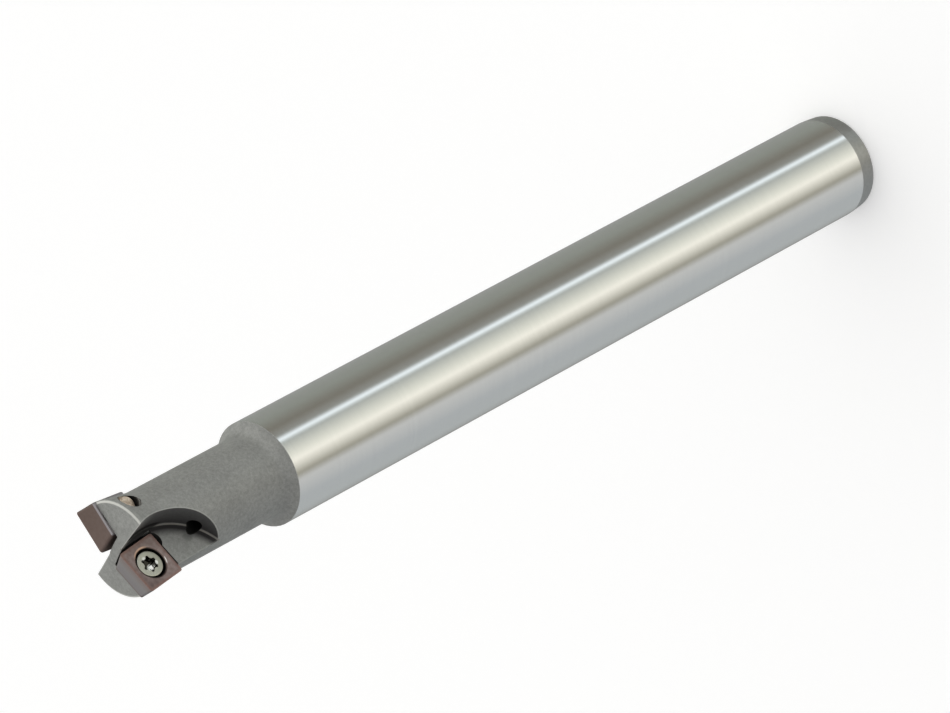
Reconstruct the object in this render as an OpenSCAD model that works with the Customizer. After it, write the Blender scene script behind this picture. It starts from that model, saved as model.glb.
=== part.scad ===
// High feed end mill with a cylindrical shank and two clamped square inserts.
// Origin at the centre of the shank's rear face, +Z along the tool to its cutting tip.
// Insert 1 lies on the +X side and its rake face looks along +Y, so the tool cuts right-handed.

/* [Shank] */
// Length of the whole tool, from the rear face to the tips of the inserts
overall_l = 160; // [156:1:200]
// Diameter of the ground shank
shank_d = 16; // [15:0.5:20]
// Length of the shank, from the rear face to the shoulder
shank_l = 130.3; // [100:0.1:132]
// Rounding of the shank's front edge
shoulder_edge = 0.15; // [0.05:0.05:0.4]
// Length of the relieved band at the rear end
band_l = 3; // [1:0.5:8]
// How far the band falls back from the shank at the rear face
band_drop = 0.3; // [0.1:0.05:0.6]
// Radius of the rounded edge round the rear face
rear_edge_r = 0.4; // [0.2:0.1:0.8]

/* [Neck] */
// Diameter of the neck behind the head
neck_d = 12.86; // [12.4:0.02:13.2]
// Radius of the hollow between the shank and the neck
shoulder_r = 2.3; // [1:0.1:4]

/* [Head] */
// Radius of the long hollow between the neck and the head
head_blend_r = 16; // [8:1:24]
// Gap between the cutting circle and the rim of the head
rim_clearance = 0.6; // [0.4:0.05:0.8]
// Angle at which the head widens towards the tip
head_flare = 11; // [6:1:14]
// Radius of the eased rim, which is cut as two bevels
rim_r = 0.4; // [0.2:0.1:1]
// How far the middle of the end face lies under the tip
end_drop = 0.9; // [0.7:0.05:1.4]
// Slope of the end face
end_slope = 6; // [2:0.5:12]

/* [Inserts] */
// Diameter of the cutting circle
cut_d = 16; // [15.6:0.1:17]
// Side of the square insert on its rake face
insert_side = 6.85; // [6.6:0.05:7.1]
// Thickness of the insert
insert_t = 3.55; // [3.2:0.05:3.8]
// Clearance angle of the insert's flanks
insert_clearance = 11; // [7:0.5:12]
// Corner radius
insert_corner_r = 0.4; // [0.2:0.05:1]
// Height of the bevel round the seat
seat_bevel = 0.2; // [0.05:0.05:0.5]
// Diameter of the hole for the clamp screw
insert_hole_d = 3.5; // [3.4:0.05:3.8]
// Diameter of the hole's mouth on the rake face
insert_mouth_d = 5.1; // [4.9:0.1:5.6]
// Bevel round that mouth
insert_mouth_bevel = 0.15; // [0.05:0.05:0.25]
// Gap between the screw's head and the wall round it
head_room = 0.34; // [0.25:0.01:0.4]
// Depth at which the hole narrows to the seat for the head's cone
insert_cone_depth = 0.75; // [0.6:0.05:1]
// Depth at which the narrow hole starts
insert_hole_depth = 1.8; // [1.6:0.1:2.2]

/* [Insert places] */
// Angle between the end cutting edge and the plane across the tip
lead_angle = 6; // [3:0.5:9]
// Lean of the rake face along the tool
axial_rake = 1.6; // [0:0.2:4]
// Height of the rake face over the tool's middle plane
rake_height = 1.42; // [1.2:0.02:1.6]
// Height of the flank that bears on the pocket's inner wall
bearing_h = 1.9; // [1:0.1:2.6]
// How far behind the insert's middle that bearing starts
bearing_from = 0.4; // [0:0.1:1.2]
// How far the inner wall stands back from the insert over that bearing
wall_relief = 0.4; // [0.1:0.05:0.45]
// How far it stands back over its whole height near the tip
front_relief = 0.5; // [0.5:0.05:0.6]
// Radius of the relief in the pocket's corner, at the rake face
corner_relief_r = 1.45; // [1.3:0.05:1.55]
// Radius of that relief at the seat
corner_relief_seat_r = 0.7; // [0.6:0.05:0.8]
// How far the relief's centre lies inside the insert's inner edge
corner_relief_x = 1.25; // [1.2:0.05:1.4]
// How far the relief's centre lies inside the insert's rear edge
corner_relief_y = 0.85; // [0.8:0.05:0.95]

/* [Chip flutes] */
// Radius of the flute's curved wall
flute_r = 10.4; // [9:0.1:12]
// How far the wall passes over the tool's middle
flute_over = 0.55; // [0.2:0.05:0.7]
// Distance from the tip back to the wall's deepest point
flute_centre_l = 5.5; // [4:0.5:7]
// Height of the flute's floor over the middle plane, at that point
floor_height = 1.42; // [1.2:0.02:1.6]
// Slope of the floor as it runs out towards the shank
floor_slope = 4; // [0:0.5:6]
// Radius between the wall and the floor
flute_fillet = 0.25; // [0.15:0.05:0.8]

/* [Clamp screws] */
// Diameter of the screw's thread
screw_d = 3; // [2.6:0.1:3]
// Length of the screw with its head
screw_l = 5.8; // [5:0.1:6.4]
// Diameter of the head
screw_head_d = 3.95; // [3.8:0.05:4.2]
// Height of the head's rim
head_rim_h = 0.15; // [0.1:0.05:0.3]
// Angle of the head's cone
head_angle = 60; // [55:1:70]
// How deep the head lies under the rake face
head_depth = 0.3; // [0.3:0.05:0.6]
// Lean of the screw, which draws the insert back towards the shank
screw_lean = 4.4; // [0:0.2:4.4]
// Sideways lean of the screw, which draws the insert against the inner wall
screw_side_lean = 1.2; // [0:0.2:1.2]
// Gap between the screw's thread and the tapped hole
thread_clearance = 0.02; // [0.01:0.01:0.1]
// Bevel round the screw's head
screw_bevel = 0.12; // [0.05:0.01:0.3]
// Diameter of the flat at the screw's end
screw_end_d = 2.3; // [1.6:0.1:2.5]
// Size of the six-lobe recess across its lobes
recess_d = 2.5; // [2:0.1:2.8]
// Turn of the recess after the screw is tightened
recess_turn = -13; // [-30:1:30]
// Depth of the recess
recess_depth = 1.3; // [0.8:0.1:1.8]

/* [Coolant] */
// Diameter of the bore along the shank
coolant_d = 4.5; // [3:0.5:6]
// Length of that bore
coolant_l = 141; // [120:1:141]
// Bevel at the bore's mouth
coolant_bevel = 0.5; // [0.2:0.1:1]
// Diameter of the two branches
branch_d = 2.1; // [1.5:0.1:2.5]
// Distance from the tip back to the outlet in each flute
outlet_l = 13; // [12:0.2:13.4]
// Height of the outlet's middle over the flute's floor
outlet_rise = 0.55; // [0.3:0.05:1.2]

/* [Hidden] */
$fn = 96;

steel = [0.5, 0.505, 0.485];
coated_carbide = [0.45, 0.375, 0.36];
bright_steel = [0.72, 0.7, 0.66];
cut_over = 0.05;
cut_above = 0.3;
reach_out = 1.25 * cut_d;
drill_point = 118;
blend_cones = 6;

shank_r = shank_d / 2;
neck_r = neck_d / 2;

// The insert is found from the cutting circle and the length: its outermost and foremost points lie on them.
flank_lean = tan(insert_clearance);
corner_lean = atan(sqrt(2) * flank_lean);
corner_cut_r = insert_corner_r * cos(insert_clearance);
corner_c = insert_side / 2 - insert_corner_r;
insert_reach = corner_c * (cos(lead_angle) + sin(lead_angle)) + insert_corner_r;
corner_ahead = corner_c * (cos(lead_angle) - sin(lead_angle));
outer_rake_height = rake_height + corner_ahead * sin(axial_rake);
insert_x = sqrt(pow(cut_d / 2, 2) - pow(outer_rake_height, 2)) - insert_reach;
insert_z = overall_l - insert_reach * cos(axial_rake);
seat_half = insert_side / 2 - insert_t * flank_lean;

// The head's side runs from the neck's hollow to an eased rim, and both hollows are tangent to the neck.
// The long one is drawn as a few cones, which differ by less than two degrees each.
rim_corner_r = cut_d / 2 - rim_clearance;
rim_corner_z = overall_l - end_drop - rim_corner_r * tan(end_slope);
flare_z = rim_corner_z - (rim_corner_r - neck_r) / tan(head_flare);
blend_z = flare_z - head_blend_r * tan(head_flare / 2);
shoulder_w = min(shank_r - shoulder_edge - neck_r, shoulder_r);
shoulder_h = sqrt(pow(shoulder_r, 2) - pow(shoulder_r - shoulder_w, 2));

flute_x = flute_r - flute_over;
flute_z = overall_l - flute_centre_l;
flute_h = shank_r;

screw_r = screw_d / 2;
screw_head_r = screw_head_d / 2;
head_cone_h = (screw_head_r - screw_r) / tan(head_angle / 2);
lean_pivot = head_depth + head_rim_h + head_cone_h / 2;
tapped_r = screw_r + thread_clearance;
lobe_r = recess_d / 2 * 0.175;
lobe_at = recess_d / 2 - lobe_r;
valley_r = recess_d / 2 * 0.4;
valley_at = recess_d / 2 * 0.715 + valley_r;

// Each branch leaves the bore where its drilled point starts, and opens in its flute's wall, just over the floor.
branch_z = coolant_l - coolant_d / 2 / tan(drill_point / 2);
outlet_z = overall_l - outlet_l;
outlet_x = flute_x - sqrt(pow(flute_r, 2) - pow(flute_z - outlet_z, 2));
outlet_y = floor_height + (flute_z - outlet_z) * tan(floor_slope) + outlet_rise;
branch_run = [outlet_x, outlet_y, outlet_z - branch_z];
branch_lean = acos(branch_run[2] / norm(branch_run));
branch_turn = atan2(outlet_y, outlet_x);

function rounded_at(corner, n1, n2, r) = corner - r * (n1 + n2) / (1 + n1 * n2);

// Places a child on side 0 or side 1 of the tool, which are half a turn apart.
module on_side(i) {
    rotate([0, 0, 180 * i])
        children();
}

// Frame of an insert before its lead angle: origin at the middle of the rake face, +Z out of the rake face,
// +X away from the tool's axis and +Y towards the shank.
module at_rake(i) {
    on_side(i)
        translate([insert_x, rake_height, insert_z])
            rotate([-90 - axial_rake, 0, 0])
                children();
}

// The insert's own frame: origin at the middle of its seat, sides along X and Y.
module at_seat(i) {
    at_rake(i)
        rotate([0, 0, lead_angle])
            translate([0, 0, -insert_t])
                children();
}

// Frame of a clamp screw: origin at the middle of the head's top face, thread along -Z.
module at_screw(i) {
    at_rake(i)
        translate([0, 0, -lean_pivot])
            rotate([screw_lean, screw_side_lean, 0])
                translate([0, 0, lean_pivot - head_depth])
                    children();
}

// Half outline of the body, before any cut.
module body_outline() {
    band_lean = atan(band_drop / band_l);
    band_normal = [cos(band_lean), -sin(band_lean)];
    rear_normal = [0, -1];
    rear_c = rounded_at([shank_r - band_drop, 0], band_normal, rear_normal, rear_edge_r);
    side_normal = [cos(head_flare), -sin(head_flare)];
    end_normal = [sin(end_slope), cos(end_slope)];
    rim_c = rounded_at([rim_corner_r, rim_corner_z], side_normal, end_normal, rim_r);
    union() {
        polygon([
            [0, 0],
            rear_c + rear_edge_r * rear_normal,
            rear_c + rear_edge_r * band_normal,
            [shank_r, band_l],
            [shank_r, shank_l - shoulder_edge],
            [shank_r - shoulder_edge, shank_l],
            [neck_r, shank_l],
            for (a = [0 : head_flare / blend_cones : head_flare])
                [neck_r + head_blend_r * (1 - cos(a)), blend_z + head_blend_r * sin(a)],
            rim_c + rim_r * side_normal,
            rim_c + rim_r * (side_normal + end_normal) / norm(side_normal + end_normal),
            rim_c + rim_r * end_normal,
            [0, overall_l - end_drop]
        ]);
        translate(rear_c)
            circle(rear_edge_r, $fn = 32);
        translate([shank_r - shoulder_edge, shank_l - shoulder_edge])
            circle(shoulder_edge, $fn = 24);
        difference() {
            translate([neck_r - cut_over, shank_l - cut_over])
                square([shoulder_w + cut_over, shoulder_h + cut_over]);
            translate([neck_r + shoulder_r, shank_l + shoulder_h])
                circle(shoulder_r, $fn = 64);
        }
    }
}

// One flute: a round cutter with a rounded edge, its axis square to the flute's floor.
module flute_cut() {
    translate([flute_x, floor_height, flute_z])
        rotate([floor_slope - 90, 0, 0])
            rotate_extrude()
                union() {
                    square([flute_r - flute_fillet, flute_h]);
                    translate([0, flute_fillet])
                        square([flute_r, flute_h - flute_fillet]);
                    translate([flute_r - flute_fillet, flute_fillet])
                        circle(flute_fillet, $fn = 32);
                }
}

// Long prism along the insert's Y, cut from an outline in its X and height.
module along_y(outline, from, to) {
    translate([0, to, 0])
        rotate([90, 0, 0])
            linear_extrude(height = to - from)
                polygon(outline);
}

// The pocket in the insert's own frame: floor, inner wall with its bearing, rear wall and corner relief.
module pocket_cut() {
    top = insert_t + cut_above;
    band_half = seat_half + bearing_h * flank_lean;
    top_half = seat_half + top * flank_lean;
    intersection() {
        union() {
            along_y([
                [-seat_half, 0],
                [reach_out, 0],
                [reach_out, top],
                [-top_half - wall_relief, top],
                [-band_half - wall_relief, bearing_h],
                [-band_half, bearing_h]
            ], -reach_out, reach_out);
            along_y([
                [-seat_half - front_relief, 0],
                [reach_out, 0],
                [reach_out, top],
                [-top_half - front_relief, top]
            ], -reach_out, bearing_from);
        }
        rotate([0, 0, 90])
            along_y([
                [seat_half, 0],
                [top_half, top],
                [-reach_out, top],
                [-reach_out, 0]
            ], -reach_out, reach_out);
    }
    translate([corner_relief_x - insert_side / 2, insert_side / 2 - corner_relief_y, 0])
        rotate_extrude()
            polygon([
                [0, 0],
                [corner_relief_seat_r, 0],
                [corner_relief_r, insert_t],
                [corner_relief_r, top],
                [0, top]
            ]);
}

// Bore along the shank and the two branches that leave it for the flutes.
module coolant_cut() {
    bore_r = coolant_d / 2;
    rotate_extrude()
        polygon([
            [0, -cut_over],
            [bore_r + coolant_bevel + cut_over, -cut_over],
            [bore_r, coolant_bevel],
            [bore_r, branch_z],
            [0, coolant_l]
        ]);
    for (i = [0, 1])
        on_side(i)
            translate([0, 0, branch_z])
                rotate([0, branch_lean, branch_turn])
                    cylinder(h = norm(branch_run) + outlet_l, d = branch_d, $fn = 48);
}

// Steel body: shank, shoulder, neck and head in one piece.
module cutter_body() {
    color(steel)
        difference() {
            rotate_extrude()
                body_outline();
            coolant_cut();
            for (i = [0, 1]) {
                on_side(i)
                    flute_cut();
                at_seat(i)
                    pocket_cut();
                at_screw(i)
                    translate([0, 0, -2 * screw_l])
                        cylinder(h = 2 * screw_l, r = tapped_r);
            }
        }
}

// Long wedge with two opposite flanks of the insert, or with its seat bevels.
module flank_wedge(foot, lean) {
    along_y([
        [-foot, 0],
        [foot, 0],
        [foot + insert_t * lean, insert_t],
        [-foot - insert_t * lean, insert_t]
    ], -reach_out, reach_out);
}

// Square of the insert with leaning flanks, its two half widths given at the seat.
module leaning_block(foot_x, foot_y, lean) {
    intersection() {
        flank_wedge(foot_x, lean);
        rotate([0, 0, 90])
            flank_wedge(foot_y, lean);
    }
}

// Hole through the insert, with room for the screw's head and a cone under it.
module insert_hole() {
    hole_r = insert_hole_d / 2;
    mouth_r = insert_mouth_d / 2;
    room_r = screw_head_r + head_room;
    rotate_extrude()
        polygon([
            [0, -cut_over],
            [hole_r, -cut_over],
            [hole_r, insert_t - insert_hole_depth],
            [room_r, insert_t - insert_cone_depth],
            [room_r, insert_t - insert_mouth_bevel],
            [mouth_r, insert_t],
            [mouth_r, insert_t + cut_over],
            [0, insert_t + cut_over]
        ]);
}

// Square insert with leaning flanks, round corners, a bevelled seat and a countersunk hole.
module insert(i) {
    inner_half = seat_half - insert_corner_r;
    color(coated_carbide)
        at_seat(i)
            difference() {
                intersection() {
                    union() {
                        leaning_block(seat_half, inner_half, flank_lean);
                        leaning_block(inner_half, seat_half, flank_lean);
                        for (a = [0 : 90 : 270])
                            rotate([0, 0, a])
                                translate([inner_half, inner_half, 0])
                                    rotate([0, corner_lean, 45])
                                        translate([0, 0, -insert_t])
                                            cylinder(h = 3 * insert_t, r = corner_cut_r, $fn = 32);
                    }
                    leaning_block(seat_half - seat_bevel, seat_half - seat_bevel, 1);
                }
                insert_hole();
            }
}

// Outline of the six-lobe recess.
module six_lobe() {
    difference() {
        circle(lobe_at, $fn = 48);
        for (a = [30 : 60 : 330])
            rotate(a)
                translate([valley_at, 0])
                    circle(valley_r, $fn = 32);
    }
    for (a = [0 : 60 : 300])
        rotate(a)
            translate([lobe_at, 0])
                circle(lobe_r, $fn = 24);
}

// Countersunk clamp screw with a six-lobe recess. Its thread is drawn as its outer cylinder.
module clamp_screw(i) {
    color(bright_steel)
        at_screw(i)
            difference() {
                rotate_extrude($fn = 64)
                    polygon([
                        [0, 0],
                        [screw_head_r - screw_bevel, 0],
                        [screw_head_r, -screw_bevel],
                        [screw_head_r, -screw_bevel - head_rim_h],
                        [screw_r, -screw_bevel - head_rim_h - head_cone_h],
                        [screw_r, screw_r - screw_end_d / 2 - screw_l],
                        [screw_end_d / 2, -screw_l],
                        [0, -screw_l]
                    ]);
                translate([0, 0, -recess_depth])
                    linear_extrude(height = recess_depth + cut_over)
                        rotate(recess_turn)
                            six_lobe();
            }
}

module insert_1() {
    insert(0);
}

module insert_2() {
    insert(1);
}

module clamp_screw_1() {
    clamp_screw(0);
}

module clamp_screw_2() {
    clamp_screw(1);
}

cutter_body();
insert_1();
insert_2();
clamp_screw_1();
clamp_screw_2();
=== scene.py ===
import math

import bpy
from mathutils import Matrix, Vector


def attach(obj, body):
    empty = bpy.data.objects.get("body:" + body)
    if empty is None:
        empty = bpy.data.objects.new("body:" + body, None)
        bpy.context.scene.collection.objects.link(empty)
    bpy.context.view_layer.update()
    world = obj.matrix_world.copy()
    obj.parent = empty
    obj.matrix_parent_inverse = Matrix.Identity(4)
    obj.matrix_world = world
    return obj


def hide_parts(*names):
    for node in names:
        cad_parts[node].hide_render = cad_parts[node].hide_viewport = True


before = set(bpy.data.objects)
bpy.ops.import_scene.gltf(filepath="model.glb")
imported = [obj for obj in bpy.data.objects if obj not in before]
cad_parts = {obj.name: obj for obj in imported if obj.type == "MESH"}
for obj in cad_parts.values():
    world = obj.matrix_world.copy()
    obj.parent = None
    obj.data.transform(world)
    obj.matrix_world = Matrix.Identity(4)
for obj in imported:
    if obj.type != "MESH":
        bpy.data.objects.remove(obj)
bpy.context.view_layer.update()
scene = bpy.context.scene
scene.view_settings.view_transform = "Standard"

# Cutter body.
# One bar of tool steel: the shank is ground bright, and the neck and head are blasted dull grey.
# The flutes are milled, and a thin light line along every edge of them is a painted highlight.


class Wire:
    """A shader socket on which arithmetic can be written."""

    def __init__(self, tree, socket):
        self.tree = tree
        self.socket = socket

    def node(self, kind, inputs, output=0, **settings):
        """A new node: its type, its settings, and the values or wires of its sockets."""
        made = self.tree.nodes.new(kind)
        stops = settings.pop("stops", None)
        for name, value in settings.items():
            setattr(made, name, value)
        if stops:
            ramp = made.color_ramp
            while len(ramp.elements) < len(stops):
                ramp.elements.new(1.0)
            for element, (position, colour) in zip(ramp.elements, stops):
                element.position = position
                element.color = (*colour, 1.0)
        for name, value in inputs.items():
            if isinstance(value, Wire):
                self.tree.links.new(value.socket, made.inputs[name])
            else:
                made.inputs[name].default_value = value
        return Wire(self.tree, made.outputs[output])

    def math(self, operation, *operands):
        return self.node("ShaderNodeMath", dict(enumerate(operands)), operation=operation)

    def __add__(self, other):
        return self.math("ADD", self, other)

    __radd__ = __add__

    def __sub__(self, other):
        return self.math("SUBTRACT", self, other)

    def __rsub__(self, other):
        return self.math("SUBTRACT", other, self)

    def __mul__(self, other):
        return self.math("MULTIPLY", self, other)

    __rmul__ = __mul__

    def __truediv__(self, other):
        return self.math("DIVIDE", self, other)

    def __abs__(self):
        return self.math("ABSOLUTE", self)

    def smaller(self, other):
        return self.math("MINIMUM", self, other)

    def larger(self, other):
        return self.math("MAXIMUM", self, other)

    def root(self):
        return self.math("SQRT", self)

    def sign(self):
        return self.math("SIGN", self)

    def between(self, start, end):
        """0 at start, 1 at end and a straight way between them."""
        return self.node("ShaderNodeMapRange", {0: self, 1: start, 2: end}, clamp=True)

    def blend(self, low, high):
        """Mixes two colours by this value."""
        low = low if isinstance(low, Wire) else (*low, 1.0)
        high = high if isinstance(high, Wire) else (*high, 1.0)
        return self.node("ShaderNodeMix", {0: self, 6: low, 7: high}, output=2, data_type="RGBA")


def source(tree, kind, output):
    """A wire from a node that takes nothing in."""
    return Wire(tree, tree.nodes.new(kind).outputs[output])


def new_finish(name):
    """A new material, its shader and a wire with the piece's own coordinates."""
    made = bpy.data.materials.new(name)
    made.use_nodes = True
    tree = made.node_tree
    return made, tree.nodes["Principled BSDF"], source(tree, "ShaderNodeTexCoord", "Object")


def split(place):
    """The three numbers of a place."""
    return [place.node("ShaderNodeSeparateXYZ", {0: place}, output=k) for k in range(3)]


def put(shader, name, value):
    """Sets a shader's socket to a wire or a plain value."""
    if isinstance(value, Wire):
        value.tree.links.new(value.socket, shader.inputs[name])
    else:
        shader.inputs[name].default_value = value


def speckle(place, scale, detail=2.0):
    """Noise with features of about 1 / scale metres."""
    return place.node("ShaderNodeTexNoise", {"Vector": place, "Scale": scale, "Detail": detail})


def relief(shader, height, strength, depth):
    """Fine bumps, as deep as given in metres."""
    sockets = {"Height": height, "Strength": strength, "Distance": depth}
    put(shader, "Normal", height.node("ShaderNodeBump", sockets))


def use_finish(node, material):
    """Gives a CAD node the material in all its slots."""
    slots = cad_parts[node].data.materials
    for k in range(len(slots)):
        slots[k] = material


def seen_from(frame_of, place):
    """A place, as three wires, in the frame that a matrix gives."""
    back = frame_of.inverted()
    x, y, z = place
    return [x * row[0] + y * row[1] + z * row[2] + row[3] for row in back[:3]]


def half_turned(side, place):
    """A place turned half round the tool's axis where the side is -1, since both sides are alike."""
    x, y, z = place
    return x * side, y * side, z


def distance(u, v):
    return (u * u + v * v).root()


def inside(u, v, none, full):
    """1 up to the radius full round an axis, 0 beyond the radius none."""
    return (u * u + v * v).between(none**2, full**2)


def near(value, width):
    """1 where the value is within the width of 0, with a soft end."""
    return abs(value).between(width * 1.3, width * 0.7)


MM = 0.001

# The turned outline, from the rear face up to the tip.
CUT_R = 8 * MM
TOOL_L = 160 * MM
BAND_TOP = 3.0 * MM
GROUND_TOP = 130.13 * MM
NECK_R = 6.43 * MM
HEAD_FOOT = 143 * MM
HOLLOW_FOOT = 151.79 * MM
HOLLOW_R = 16 * MM
HOLLOW_L = 3.053 * MM
FLARE = math.tan(math.radians(11))
RIM_FOOT = 158.12 * MM
RIM_TOP = 158.40 * MM
RIM_R = 6.97 * MM
END_Z = 159.1 * MM
END_SLOPE = math.tan(math.radians(6))

# One flute, its drilled coolant outlet, and the insert's pocket with its tapped hole.
RAKE_H = 1.42 * MM
FLUTE_R = 10.4 * MM
FLUTE_MIDDLE = 154 * MM
FLUTE_TILT = Matrix.Rotation(math.radians(4 - 90), 4, "X")
FLUTE_FRAME = Matrix.Translation((9.85 * MM, RAKE_H, 154.5 * MM)) @ FLUTE_TILT
BRANCH_R = 1.06 * MM
BRANCH_FOOT = Vector((0, 0, 139.648 * MM))
BRANCH_TILT = Vector((2.6451, 2.4944, 7.352)).to_track_quat("Z", "Y")
BRANCH_FRAME = Matrix.Translation(BRANCH_FOOT) @ BRANCH_TILT.to_matrix().to_4x4()
POCKET_FOOT = 149.4 * MM
SEAT_DEPTH = 3.7 * MM
TAPPED_R = 1.54 * MM
THREAD_SHOWS = -6.7 * MM

# The insert's rounded corners touch the cutting circle and the tip's height.
INSERT_T = 3.55 * MM
CORNER_R = 0.4 * MM
CORNER_AT = 3.025 * MM
LEAD = math.radians(6)
RAKE_LEAN = math.radians(1.6)
REACH = CORNER_AT * (math.cos(LEAD) + math.sin(LEAD)) + CORNER_R
AHEAD = CORNER_AT * (math.cos(LEAD) - math.sin(LEAD))
INSERT_X = math.sqrt(CUT_R**2 - (RAKE_H + AHEAD * math.sin(RAKE_LEAN)) ** 2) - REACH
INSERT_Z = TOOL_L - REACH * math.cos(RAKE_LEAN)
RAKE_TILT = Matrix.Rotation(-math.pi / 2 - RAKE_LEAN, 4, "X")
RAKE_FRAME = Matrix.Translation((INSERT_X, RAKE_H, INSERT_Z)) @ RAKE_TILT
INSERT_FRAME = (
    RAKE_FRAME
    @ Matrix.Rotation(LEAD, 4, "Z")
    @ Matrix.Translation((0, 0, -INSERT_T))
)

# The screw leans about a point in its head, which is sunk under the rake face.
LEAN_PIVOT = 0.86136 * MM
HEAD_SUNK = 0.3 * MM
SCREW_FRAME = (
    RAKE_FRAME
    @ Matrix.Translation((0, 0, -LEAN_PIVOT))
    @ Matrix.Rotation(math.radians(1.2), 4, "Y")
    @ Matrix.Rotation(math.radians(4.4), 4, "X")
    @ Matrix.Translation((0, 0, LEAN_PIVOT - HEAD_SUNK))
)
PITCH = 0.5 * MM

body_steel, shader, place = new_finish("body_steel")
x, y, z = split(place)
radius = distance(x, y)
ground = z.between(BAND_TOP, BAND_TOP + 0.05 * MM) * z.between(GROUND_TOP + 0.03 * MM, GROUND_TOP)
turned_band = z.between(BAND_TOP + 0.05 * MM, BAND_TOP)
on_head = z.between(HEAD_FOOT, HEAD_FOOT + 0.2 * MM)

# Distances from the head's turned outline, its end face and one flute's wall and floor.
along_hollow = (z - HOLLOW_FOOT).larger(0.0).smaller(HOLLOW_L)
hollow_out = HOLLOW_R - (HOLLOW_R**2 - along_hollow * along_hollow).root()
outline_r = NECK_R + hollow_out + (z - HOLLOW_FOOT - HOLLOW_L).larger(0.0) * FLARE
off_side = radius - outline_r
off_end = z - END_Z + radius * END_SLOPE
by_flute = half_turned(y.sign(), (x, y, z))
across, along, height = seen_from(FLUTE_FRAME, by_flute)
off_wall = distance(across, along) - FLUTE_R

# Painted highlights as thin light lines: the flute's edges, the fillet between its wall and floor, and
# the head's rim.
EDGE_W = 0.12 * MM
outer = near(off_side, EDGE_W).larger(near(off_end, EDGE_W))
wall_edge = near(off_wall, EDGE_W) * outer * height.between(-0.2 * MM, 0.0)
floor_edge = near(height, EDGE_W * 0.7) * near(off_side, EDGE_W) * off_wall.between(0.2 * MM, 0.0)
fillet = distance(off_wall, height).between(0.24 * MM, 0.12 * MM)
rim = z.between(RIM_FOOT, RIM_FOOT + 0.10 * MM) * z.between(RIM_TOP, RIM_TOP - 0.06 * MM)
rim = rim * radius.between(RIM_R - 0.07 * MM, RIM_R) * 0.9
edge_highlights = (wall_edge * 0.36).larger(floor_edge * 0.12).larger(rim) * on_head

# Painted shade in the flute's corner: on its wall, less so towards the tip, and on its floor.
under_skin = off_side.between(0.0, -0.08 * MM) * off_end.between(0.0, -0.08 * MM)
on_wall = near(off_wall, 0.3 * MM) * height.between(0.12 * MM, 0.3 * MM) * under_skin * on_head
towards_tip = z.between(FLUTE_MIDDLE, RIM_FOOT - 0.62 * MM)
wall_shade = on_wall * (0.92 - height.between(0.0, 6.0 * MM) * 0.30 - towards_tip * 0.55)
on_floor = near(height, 0.12 * MM) * off_wall.between(-0.1 * MM, -0.25 * MM) * on_head
floor_shade = on_floor * off_wall.between(-1.9 * MM, -0.7 * MM) * 0.98

# Painted shade: the drilled outlet and the pocket's grooves are painted near black inside, and a soft
# painted shadow lies round the outlet.
u, v, w = seen_from(BRANCH_FRAME, by_flute)
in_branch = inside(u, v, BRANCH_R + 0.04 * MM, BRANCH_R) * on_head
outlet_shade = inside(u, v, BRANCH_R + 0.54 * MM, BRANCH_R) * under_skin * on_head * 0.6
by_insert = half_turned(x.sign(), (x, y, z))
under_floor = seen_from(FLUTE_FRAME, by_insert)[2].between(-0.02 * MM, -0.08 * MM)
over_seat = seen_from(RAKE_FRAME, by_insert)[2].between(-SEAT_DEPTH - 0.2 * MM, -SEAT_DEPTH)
in_pocket = under_floor * over_seat * by_insert[0].between(0.0, 0.2 * MM)
in_pocket = in_pocket * off_side.between(-0.1 * MM, -0.25 * MM) * off_end.between(-0.1 * MM, -0.25 * MM)
in_pocket = in_pocket * z.between(POCKET_FOOT, POCKET_FOOT + 0.2 * MM) * 0.95

# The tapped hole: painted shade shows its thread as dark grooves beyond the screw's end, and the rest is
# painted dark.
u, v, w = seen_from(SCREW_FRAME, by_insert)
in_thread = inside(u, v, TAPPED_R + 0.04 * MM, TAPPED_R) * on_head
turn = v.math("ARCTAN2", v, u) / (2 * math.pi) + w / PITCH
groove = abs(turn.math("FRACT", turn) - 0.5).between(0.36, 0.16) * 0.8
groove = groove.larger(w.between(THREAD_SHOWS, THREAD_SHOWS + 0.5 * MM)) * in_thread

BLASTED = ((0.232, 0.235, 0.222), (0.337, 0.341, 0.322))
GROUND = ((0.77, 0.765, 0.745), (0.84, 0.835, 0.815))
TURNED = ((0.325, 0.325, 0.310), (0.405, 0.405, 0.390))
# Painted shade for the flute's corner.
FLUTE_SHADE_COLOUR = (0.020, 0.018, 0.019)
# Painted highlight on the edges and the rim.
EDGE_HIGHLIGHT = (0.60, 0.60, 0.56)
# Painted highlight on the fillet, lighter than the painted shade round it.
FILLET_HIGHLIGHT = (0.165, 0.150, 0.128)
# Painted shade inside the outlet, the pocket's grooves and the tapped hole.
HOLLOW_SHADE = (0.010, 0.010, 0.009)
squeezed = place.node("ShaderNodeMapping", {"Vector": place, "Scale": (60, 60, 9000)})
rings = speckle(squeezed, 1.0, 3.0)
grain = speckle(place, 9000.0)
patches = speckle(place, 1900.0, 3.0) * 0.45 + speckle(place, 260.0, 3.0) * 0.25
patches = (patches + speckle(place, 5200.0, 1.0) * 0.3).between(0.36, 0.64)
flute_shade = wall_shade.larger(floor_shade).larger(outlet_shade)
colour = flute_shade.blend(patches.blend(*BLASTED), FLUTE_SHADE_COLOUR)
colour = edge_highlights.blend(colour, EDGE_HIGHLIGHT)
colour = (fillet * on_head * 0.8).blend(colour, FILLET_HIGHLIGHT)
colour = turned_band.blend(colour, patches.blend(*TURNED))
colour = ground.blend(colour, rings.blend(*GROUND))
colour = in_branch.larger(groove).larger(in_pocket).blend(colour, HOLLOW_SHADE)
put(shader, "Base Color", colour)

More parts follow.
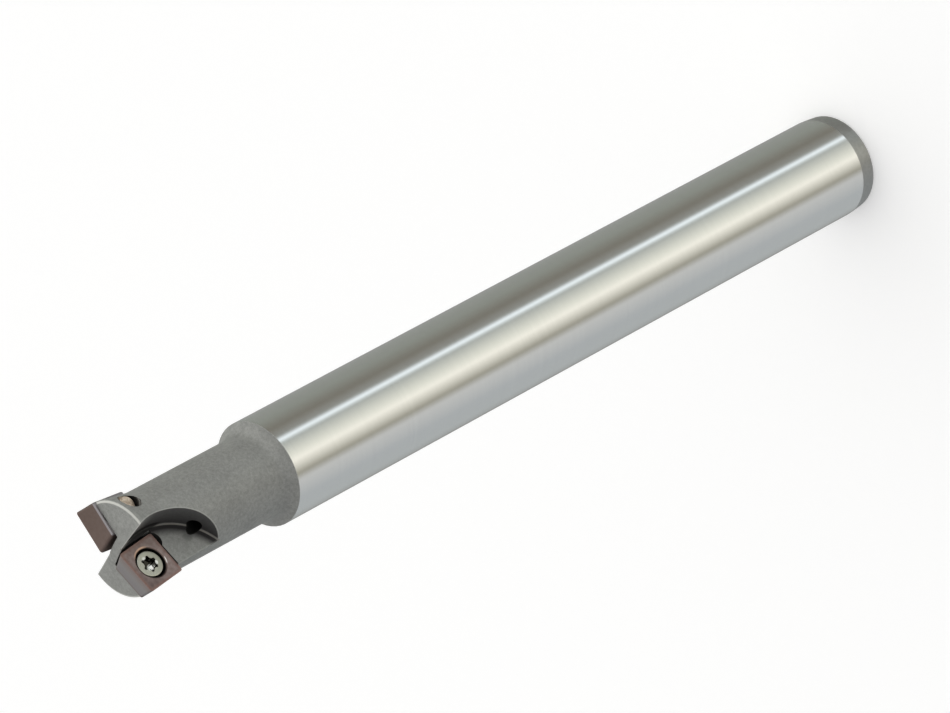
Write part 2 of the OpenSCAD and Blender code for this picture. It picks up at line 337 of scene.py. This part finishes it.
# The blasted skin is rough and half metallic, the band is smoother and the ground shank is polished.
put(shader, "Metallic", 0.35 + turned_band * 0.35 + ground * 0.6)
roughness = 0.56 - ground * 0.44 - turned_band * 0.20
put(shader, "Roughness", roughness + rings * 0.04 - edge_highlights * 0.12)
relief(shader, grain * (1 - ground) + rings * ground * 0.4, 0.3, 0.02 * MM)
use_finish("cutter_body", body_steel)

# Inserts.
# Two square plates of sintered carbide with a thin violet-brown coating, pressed and ground at the edges.
# Each one sits in its pocket on a bevelled, bare ground seat, and one screw holds it.

INSERT_HALF = 3.425 * MM
FLANK_LEAN = math.tan(math.radians(11))
HOLE_R = 2.34 * MM

coated_carbide, shader, place = new_finish("coated_carbide")
x, y, z = split(place)
u, v, w = seen_from(INSERT_FRAME, half_turned(x.sign(), (x, y, z)))
hole_r = distance(u, v)
from_rake = INSERT_T - w
to_edge = INSERT_HALF - from_rake * FLANK_LEAN - abs(u).larger(abs(v))

# The rake face has a redder border and a keen edge, and the first insert's end flank has a painted grey
# reflection.
on_rake = from_rake.between(0.05 * MM, 0.01 * MM)
border = on_rake * to_edge.between(0.55 * MM, 0.25 * MM) * 0.45
keen = on_rake * to_edge.between(0.12 * MM, 0.04 * MM) * 0.35
flank = 1 - on_rake
end_flank = v.between(-INSERT_HALF * 0.80, -INSERT_HALF * 0.84) * to_edge.between(0.2 * MM, 0.1 * MM)
flank_reflection = end_flank * flank * x.between(0.0, MM)
violet = abs(from_rake - 2.5 * MM).between(1.3 * MM, 0.0) * flank_reflection * 0.2
seat = w.between(0.22 * MM, 0.16 * MM)


def towards(angle, none, full):
    """1 within full degrees of a direction from the insert's hole, 0 beyond none degrees."""
    way = math.radians(angle)
    facing = (u * math.cos(way) + v * math.sin(way)) / hole_r
    return facing.between(math.cos(math.radians(none)), math.cos(math.radians(full)))


# The hole's lip has a painted copper highlight on one side and a painted glint on another.
# Painted shade: the hole's wall is painted near black.
in_hole = hole_r.between(HOLE_R + 0.04 * MM, HOLE_R)
lip = hole_r.between(HOLE_R - 0.04 * MM, HOLE_R) * hole_r.between(2.66 * MM, 2.58 * MM)
lip_highlight = lip * towards(190, 42, 22)
glint = lip * hole_r.between(2.46 * MM, 2.52 * MM) * towards(69, 14, 6) * 0.85

COAT_SHADED_OUTER = ((0.155, 0.107, 0.100), (0.218, 0.162, 0.151))
COAT_LIT_INNER = ((0.370, 0.278, 0.262), (0.480, 0.382, 0.360))
REDDER = (0.30, 0.16, 0.13)
KEEN = (0.42, 0.24, 0.20)
COATED_FLANK = (0.120, 0.086, 0.071)
FLANK_REFLECTION_GREY = ((0.205, 0.160, 0.145), (0.222, 0.212, 0.206))
VIOLET = (0.150, 0.120, 0.150)
LIP_HIGHLIGHT_COPPER = (0.70, 0.48, 0.36)
LIP_GLINT_WHITE = (0.98, 0.97, 0.93)
BARE_SEAT = (0.30, 0.28, 0.29)
HOLE_SHADE = (0.018, 0.015, 0.014)
grain = speckle(place, 9000.0)
patches = speckle(place, 1500.0, 3.0).between(0.35, 0.65)
# Painted light: the coat is painted lighter towards the inner corner and darker towards the outer corner.
inwards = (v - u).between(-6 * MM, 6 * MM)
coating = inwards.blend(patches.blend(*COAT_SHADED_OUTER), patches.blend(*COAT_LIT_INNER))
coating = border.blend(coating, REDDER)
coating = keen.blend(coating, KEEN)
coating = (flank * 0.85).blend(coating, COATED_FLANK)
coating = flank_reflection.blend(coating, from_rake.between(0.0, 1.5 * MM).blend(*FLANK_REFLECTION_GREY))
coating = violet.blend(coating, VIOLET)
coating = lip_highlight.blend(coating, LIP_HIGHLIGHT_COPPER)
coating = glint.blend(coating, LIP_GLINT_WHITE)
coating = seat.blend(coating, BARE_SEAT)
coating = in_hole.blend(coating, HOLE_SHADE)
put(shader, "Base Color", coating)
put(shader, "Metallic", 0.8)
put(shader, "Roughness", 0.42 - glint * 0.2 - seat * 0.1 + grain * 0.05)
relief(shader, grain, 0.2, 0.015 * MM)
use_finish("insert_1", coated_carbide)
use_finish("insert_2", coated_carbide)

# Clamp screws.
# Countersunk steel screws with a rolled thread, plated pale. A six-lobe key turns them.
# Each one draws its insert onto the seat and the inner wall, and its end shows in the tapped hole.

HEAD_R = 1.975 * MM
FACE_R = 1.855 * MM
SCREW_L = 5.8 * MM
THREAD_R = 1.5 * MM
THREAD_ROOT = 1.2 * MM
THREAD_TOP = -1.55 * MM
TIP_R = 1.15 * MM
WINDINGS = 12
WOUND_BELOW = 1.43 * PITCH
RECESS_TURN = math.radians(-13)
RECESS_R = 1.31 * MM
RECESS_MOUTH = -0.008 * MM
RECESS_FLOOR = -1.24 * MM
# Radius and height in mm of each ring, first from the face into the recess, then over the rim and cone.
RECESS_RINGS = [
    (1.855, 0.0),
    (1.72, 0.0),
    (1.50, -0.005),
    (1.30, -0.010),
    (1.25, -0.060),
    (1.24, -0.60),
    (1.22, -1.15),
    (0.90, -1.22),
    (0.30, -1.45),
]
HEAD_RINGS = [
    (1.855, 0.0),
    (1.925, -0.02),
    (1.975, -0.09),
    (1.975, -0.27),
    (1.5, -1.093),
    (1.2, -1.25),
    (1.2, -1.62),
    (0.6, -1.63),
]


def lobed(angle):
    """Radius of the six-lobe outline at an angle, for an outline 1 across its lobes."""
    lobe_r = 0.175
    lobe_at = 1 - lobe_r
    valley_r = 0.4
    valley_at = 0.715 + valley_r
    meeting = math.radians(11.06)
    from_lobe = abs((angle + math.pi / 6) % (math.pi / 3) - math.pi / 6)
    if from_lobe < meeting:
        offset = lobe_at * math.sin(from_lobe)
        return lobe_at * math.cos(from_lobe) + math.sqrt(lobe_r**2 - offset**2)
    to_valley = math.pi / 6 - from_lobe
    offset = valley_at * math.sin(to_valley)
    return valley_at * math.cos(to_valley) - math.sqrt(valley_r**2 - offset**2)


def turn_rings(rings):
    """Extrudes the selected ring from the first ring's size through the others."""
    for (radius_now, height_now), (radius_next, height_next) in zip(rings, rings[1:]):
        rise = (0, 0, (height_next - height_now) * MM)
        bpy.ops.mesh.extrude_region_move(TRANSFORM_OT_translate={"value": rise})
        growth = radius_next / radius_now
        bpy.ops.transform.resize(value=(growth, growth, 1))
    bpy.ops.mesh.merge(type="CENTER")


# The head grows from one circle, inwards for the recess and then outwards from the circle's own edge.
bpy.ops.object.select_all(action="DESELECT")
bpy.ops.mesh.primitive_circle_add(vertices=144, radius=FACE_R, fill_type="NOTHING")
screw = bpy.context.object
bpy.ops.object.mode_set(mode="EDIT")
bpy.ops.mesh.select_all(action="SELECT")
turn_rings(RECESS_RINGS)
bpy.ops.mesh.select_all(action="DESELECT")
bpy.ops.object.mode_set(mode="OBJECT")
for vertex in screw.data.vertices:
    vertex.select = abs(vertex.co.xy.length - FACE_R) < 0.02 * MM and vertex.co.z > -0.001 * MM
for edge in screw.data.edges:
    edge.select = all(screw.data.vertices[k].select for k in edge.vertices)
bpy.ops.object.mode_set(mode="EDIT")
turn_rings(HEAD_RINGS)
bpy.ops.object.mode_set(mode="OBJECT")
for vertex in screw.data.vertices:
    if vertex.co.xy.length < RECESS_R and RECESS_FLOOR < vertex.co.z < RECESS_MOUTH:
        vertex.co.xy *= lobed(math.atan2(vertex.co.y, vertex.co.x) - RECESS_TURN)

# One turn's outline of the thread, which a Screw modifier winds along the shank from below its end.
bpy.ops.object.select_all(action="DESELECT")
bpy.ops.mesh.primitive_plane_add(size=MM)
thread = bpy.context.object
bpy.ops.object.mode_set(mode="EDIT")
bpy.ops.mesh.select_all(action="SELECT")
bpy.ops.mesh.merge(type="CENTER")
bpy.ops.transform.translate(value=(THREAD_ROOT, 0, -SCREW_L - WOUND_BELOW))
crest = THREAD_R - THREAD_ROOT
for step_out, step_up in ((crest, 0.42), (0, 0.1), (-crest, 0.42), (0, 0.06)):
    step = (step_out, 0, step_up * PITCH)
    bpy.ops.mesh.extrude_vertices_move(TRANSFORM_OT_translate={"value": step})
bpy.ops.object.mode_set(mode="OBJECT")
winding = thread.modifiers.new("winding", "SCREW")
winding.axis = "Z"
winding.screw_offset = PITCH
winding.iterations = WINDINGS
winding.steps = 96
winding.render_steps = 96
winding.use_merge_vertices = True
winding.merge_threshold = 0.001 * MM
bpy.ops.object.modifier_apply(modifier="winding")

# Both ends are cut flat and closed, and the free end is chamfered. The other end stays inside the head.
bpy.ops.object.mode_set(mode="EDIT")
bpy.ops.mesh.select_all(action="SELECT")
bpy.ops.mesh.remove_doubles(threshold=0.001 * MM)
for cut_z, outwards in ((-SCREW_L, -1), (THREAD_TOP, 1)):
    bpy.ops.mesh.select_all(action="SELECT")
    bpy.ops.mesh.bisect(
        plane_co=(0, 0, cut_z),
        plane_no=(0, 0, outwards),
        clear_outer=True,
        use_fill=True,
        threshold=0.0001 * MM,
    )
bpy.ops.object.mode_set(mode="OBJECT")
for vertex in thread.data.vertices:
    spread = vertex.co.xy.length
    allowed = TIP_R + (vertex.co.z + SCREW_L)
    if spread > allowed:
        vertex.co.xy *= allowed / spread

bpy.ops.object.select_all(action="DESELECT")
thread.select_set(True)
screw.select_set(True)
bpy.context.view_layer.objects.active = screw
bpy.ops.object.join()
bpy.ops.object.mode_set(mode="EDIT")
bpy.ops.mesh.select_all(action="SELECT")
bpy.ops.mesh.normals_make_consistent(inside=False)
bpy.ops.object.mode_set(mode="OBJECT")
bpy.ops.object.shade_smooth_by_angle(angle=math.radians(38))

screw_steel, shader, place = new_finish("screw_steel")
x, y, z = split(place)
u, v, w = seen_from(SCREW_FRAME, half_turned(x.sign(), (x, y, z)))


def spot(at_u, at_v, none, full):
    """A round patch on the head, its centre and its outer and inner radius in mm."""
    return inside(u - at_u * MM, v - at_v * MM, none * MM, full * MM)


# The recess is painted dark as shade, with painted glints on its floor and on the tops of its walls. One
# half of the head is painted darker as shade.
in_head = w.between(-2.0 * MM, -1.9 * MM)
in_recess = w.between(-0.03 * MM, -0.10 * MM) * distance(u, v).between(1.32 * MM, 1.28 * MM) * in_head
high_up = w.between(-0.60 * MM, -0.50 * MM)
glint = spot(0.24, 0.58, 0.52, 0.36) * w.between(-0.6 * MM, -0.7 * MM)
glint = glint.larger(spot(0.62, -0.54, 0.30, 0.16) * high_up)
glint = glint.larger(spot(0.22, 0.98, 0.40, 0.26) * high_up)
glint = glint.larger(spot(-0.95, -0.36, 0.38, 0.22) * high_up * 0.75) * in_head
# Painted shade: the head's far half is painted darker.
shaded_half = v.between(0.1 * MM, HEAD_R) * 0.45
tip = w.between(-5.0 * MM, -5.2 * MM)
tip_patches = speckle(place, 2600.0).between(0.35, 0.65)
PLATED = ((0.47, 0.46, 0.39), (0.60, 0.59, 0.52))
HEAD_SHADE = (0.26, 0.245, 0.19)
COPPER_TIP = ((0.46, 0.35, 0.27), (0.80, 0.67, 0.56))
RECESS_SHADE = (0.030, 0.028, 0.022)
GLINT_WHITE = (0.98, 0.98, 0.95)
plating = speckle(place, 3000.0, 3.0).blend(*PLATED)
plating = shaded_half.blend(plating, HEAD_SHADE)
plating = tip.blend(plating, tip_patches.blend(*COPPER_TIP))
plating = (in_recess * 0.97).blend(plating, RECESS_SHADE)
plating = glint.blend(plating, GLINT_WHITE)
put(shader, "Base Color", plating)
put(shader, "Metallic", 0.95)
put(shader, "Roughness", 0.36 - in_recess * 0.10)
relief(shader, speckle(place, 7000.0), 0.2, 0.015 * MM)
screw.data.materials.append(screw_steel)

for k, node in enumerate(("clamp_screw_1", "clamp_screw_2")):
    piece = screw.copy()
    piece.data = screw.data.copy()
    piece.name = f"threaded_screw_{k + 1}"
    scene.collection.objects.link(piece)
    piece.data.transform(Matrix.Rotation(math.pi * k, 4, "Z") @ SCREW_FRAME)
    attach(piece, "root")
    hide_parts(node)
bpy.data.objects.remove(screw)

# Studio.
# A white paper floor, an even soft dome over it and long soft boxes low down round the tool.
# The paper hides the low boxes from everything but polished steel, which mirrors them as streaks.

bpy.ops.object.select_all(action="DESELECT")
bpy.ops.mesh.primitive_plane_add(size=8.0, location=(0, 0, 0))
floor = bpy.context.object
floor.name = "floor"
floor.visible_glossy = False
paper = bpy.data.materials.new("studio_paper")
paper.use_nodes = True
shader = paper.node_tree.nodes["Principled BSDF"]
seen = source(paper.node_tree, "ShaderNodeLightPath", "Is Camera Ray")
PAPER = (0.88, 0.88, 0.88, 1)
PAPER_GLOW = (0.25, 0.25, 0.25)
put(shader, "Base Color", PAPER)
put(shader, "Roughness", 0.9)
put(shader, "Emission Color", seen.blend((0, 0, 0), PAPER_GLOW))
put(shader, "Emission Strength", 1.0)
floor.data.materials.append(paper)

# The dome is brightest towards one azimuth and evens out overhead.
KEY_AZIMUTH = math.radians(178)
DOME_KEY = (1.60, 1.60, 1.57)
DOME_AWAY = (0.28, 0.28, 0.31)
DOME_TOP = (0.67, 0.67, 0.65)
# Azimuth in degrees and what the steel mirrors there.
LOW_BOXES = [
    (-180, (0.27, 0.29, 0.26)),
    (-108, (0.33, 0.34, 0.33)),
    (-82, (0.33, 0.34, 0.33)),
    (-56, (0.46, 0.49, 0.50)),
    (-14, (0.47, 0.50, 0.52)),
    (24, (0.62, 0.63, 0.63)),
    (38, (0.35, 0.34, 0.28)),
    (67, (1.12, 1.10, 1.00)),
    (80, (0.88, 0.89, 0.80)),
    (109, (0.43, 0.46, 0.44)),
    (117.5, (1.17, 1.28, 1.35)),
    (125.5, (0.29, 0.30, 0.28)),
    (148, (0.19, 0.18, 0.15)),
    (180, (0.27, 0.29, 0.26)),
]
world = bpy.data.worlds.new("studio_light")
scene.world = world
world.use_nodes = True
world.cycles.sampling_method = "NONE"
sky = world.node_tree
east, north, height = split(source(sky, "ShaderNodeTexCoord", "Generated"))
turn = east.math("ARCTAN2", north, east) / (2 * math.pi) + 0.5
stops = [(azimuth / 360 + 0.5, colour) for azimuth, colour in LOW_BOXES]
boxes = turn.node("ShaderNodeValToRGB", {"Fac": turn}, stops=stops)
keyed = (east * math.cos(KEY_AZIMUTH) + north * math.sin(KEY_AZIMUTH)).between(-1, 1)
overhead = height.between(0.2, 1.0) * 0.6
dome = overhead.blend(keyed.blend(DOME_AWAY, DOME_KEY), DOME_TOP)
light = height.between(-0.02, 0.02).blend(boxes, dome)
seen = source(sky, "ShaderNodeLightPath", "Is Camera Ray")
put(sky.nodes["Background"], "Color", seen.blend(light, (1, 1, 1)))

# The camera lies over on its side, as the photographed tool does.
CAMERA_AT = Vector((0.16417, 0.67488, 0.68904))
CAMERA_RIGHT = Vector((0.5983, 0.4492, -0.6635))
CAMERA_UP = Vector((-0.7812, 0.5113, -0.3582))
CAMERA_BACK = Vector((0.1783, 0.7327, 0.6568))
camera = bpy.data.objects.new("camera", bpy.data.cameras.new("camera"))
scene.collection.objects.link(camera)
scene.camera = camera
facing = Matrix((CAMERA_RIGHT, CAMERA_UP, CAMERA_BACK)).transposed()
camera.matrix_world = Matrix.Translation(CAMERA_AT) @ facing.to_4x4()
camera.data.lens = 238.907
camera.data.sensor_width = 36
camera.data.clip_start = 0.01
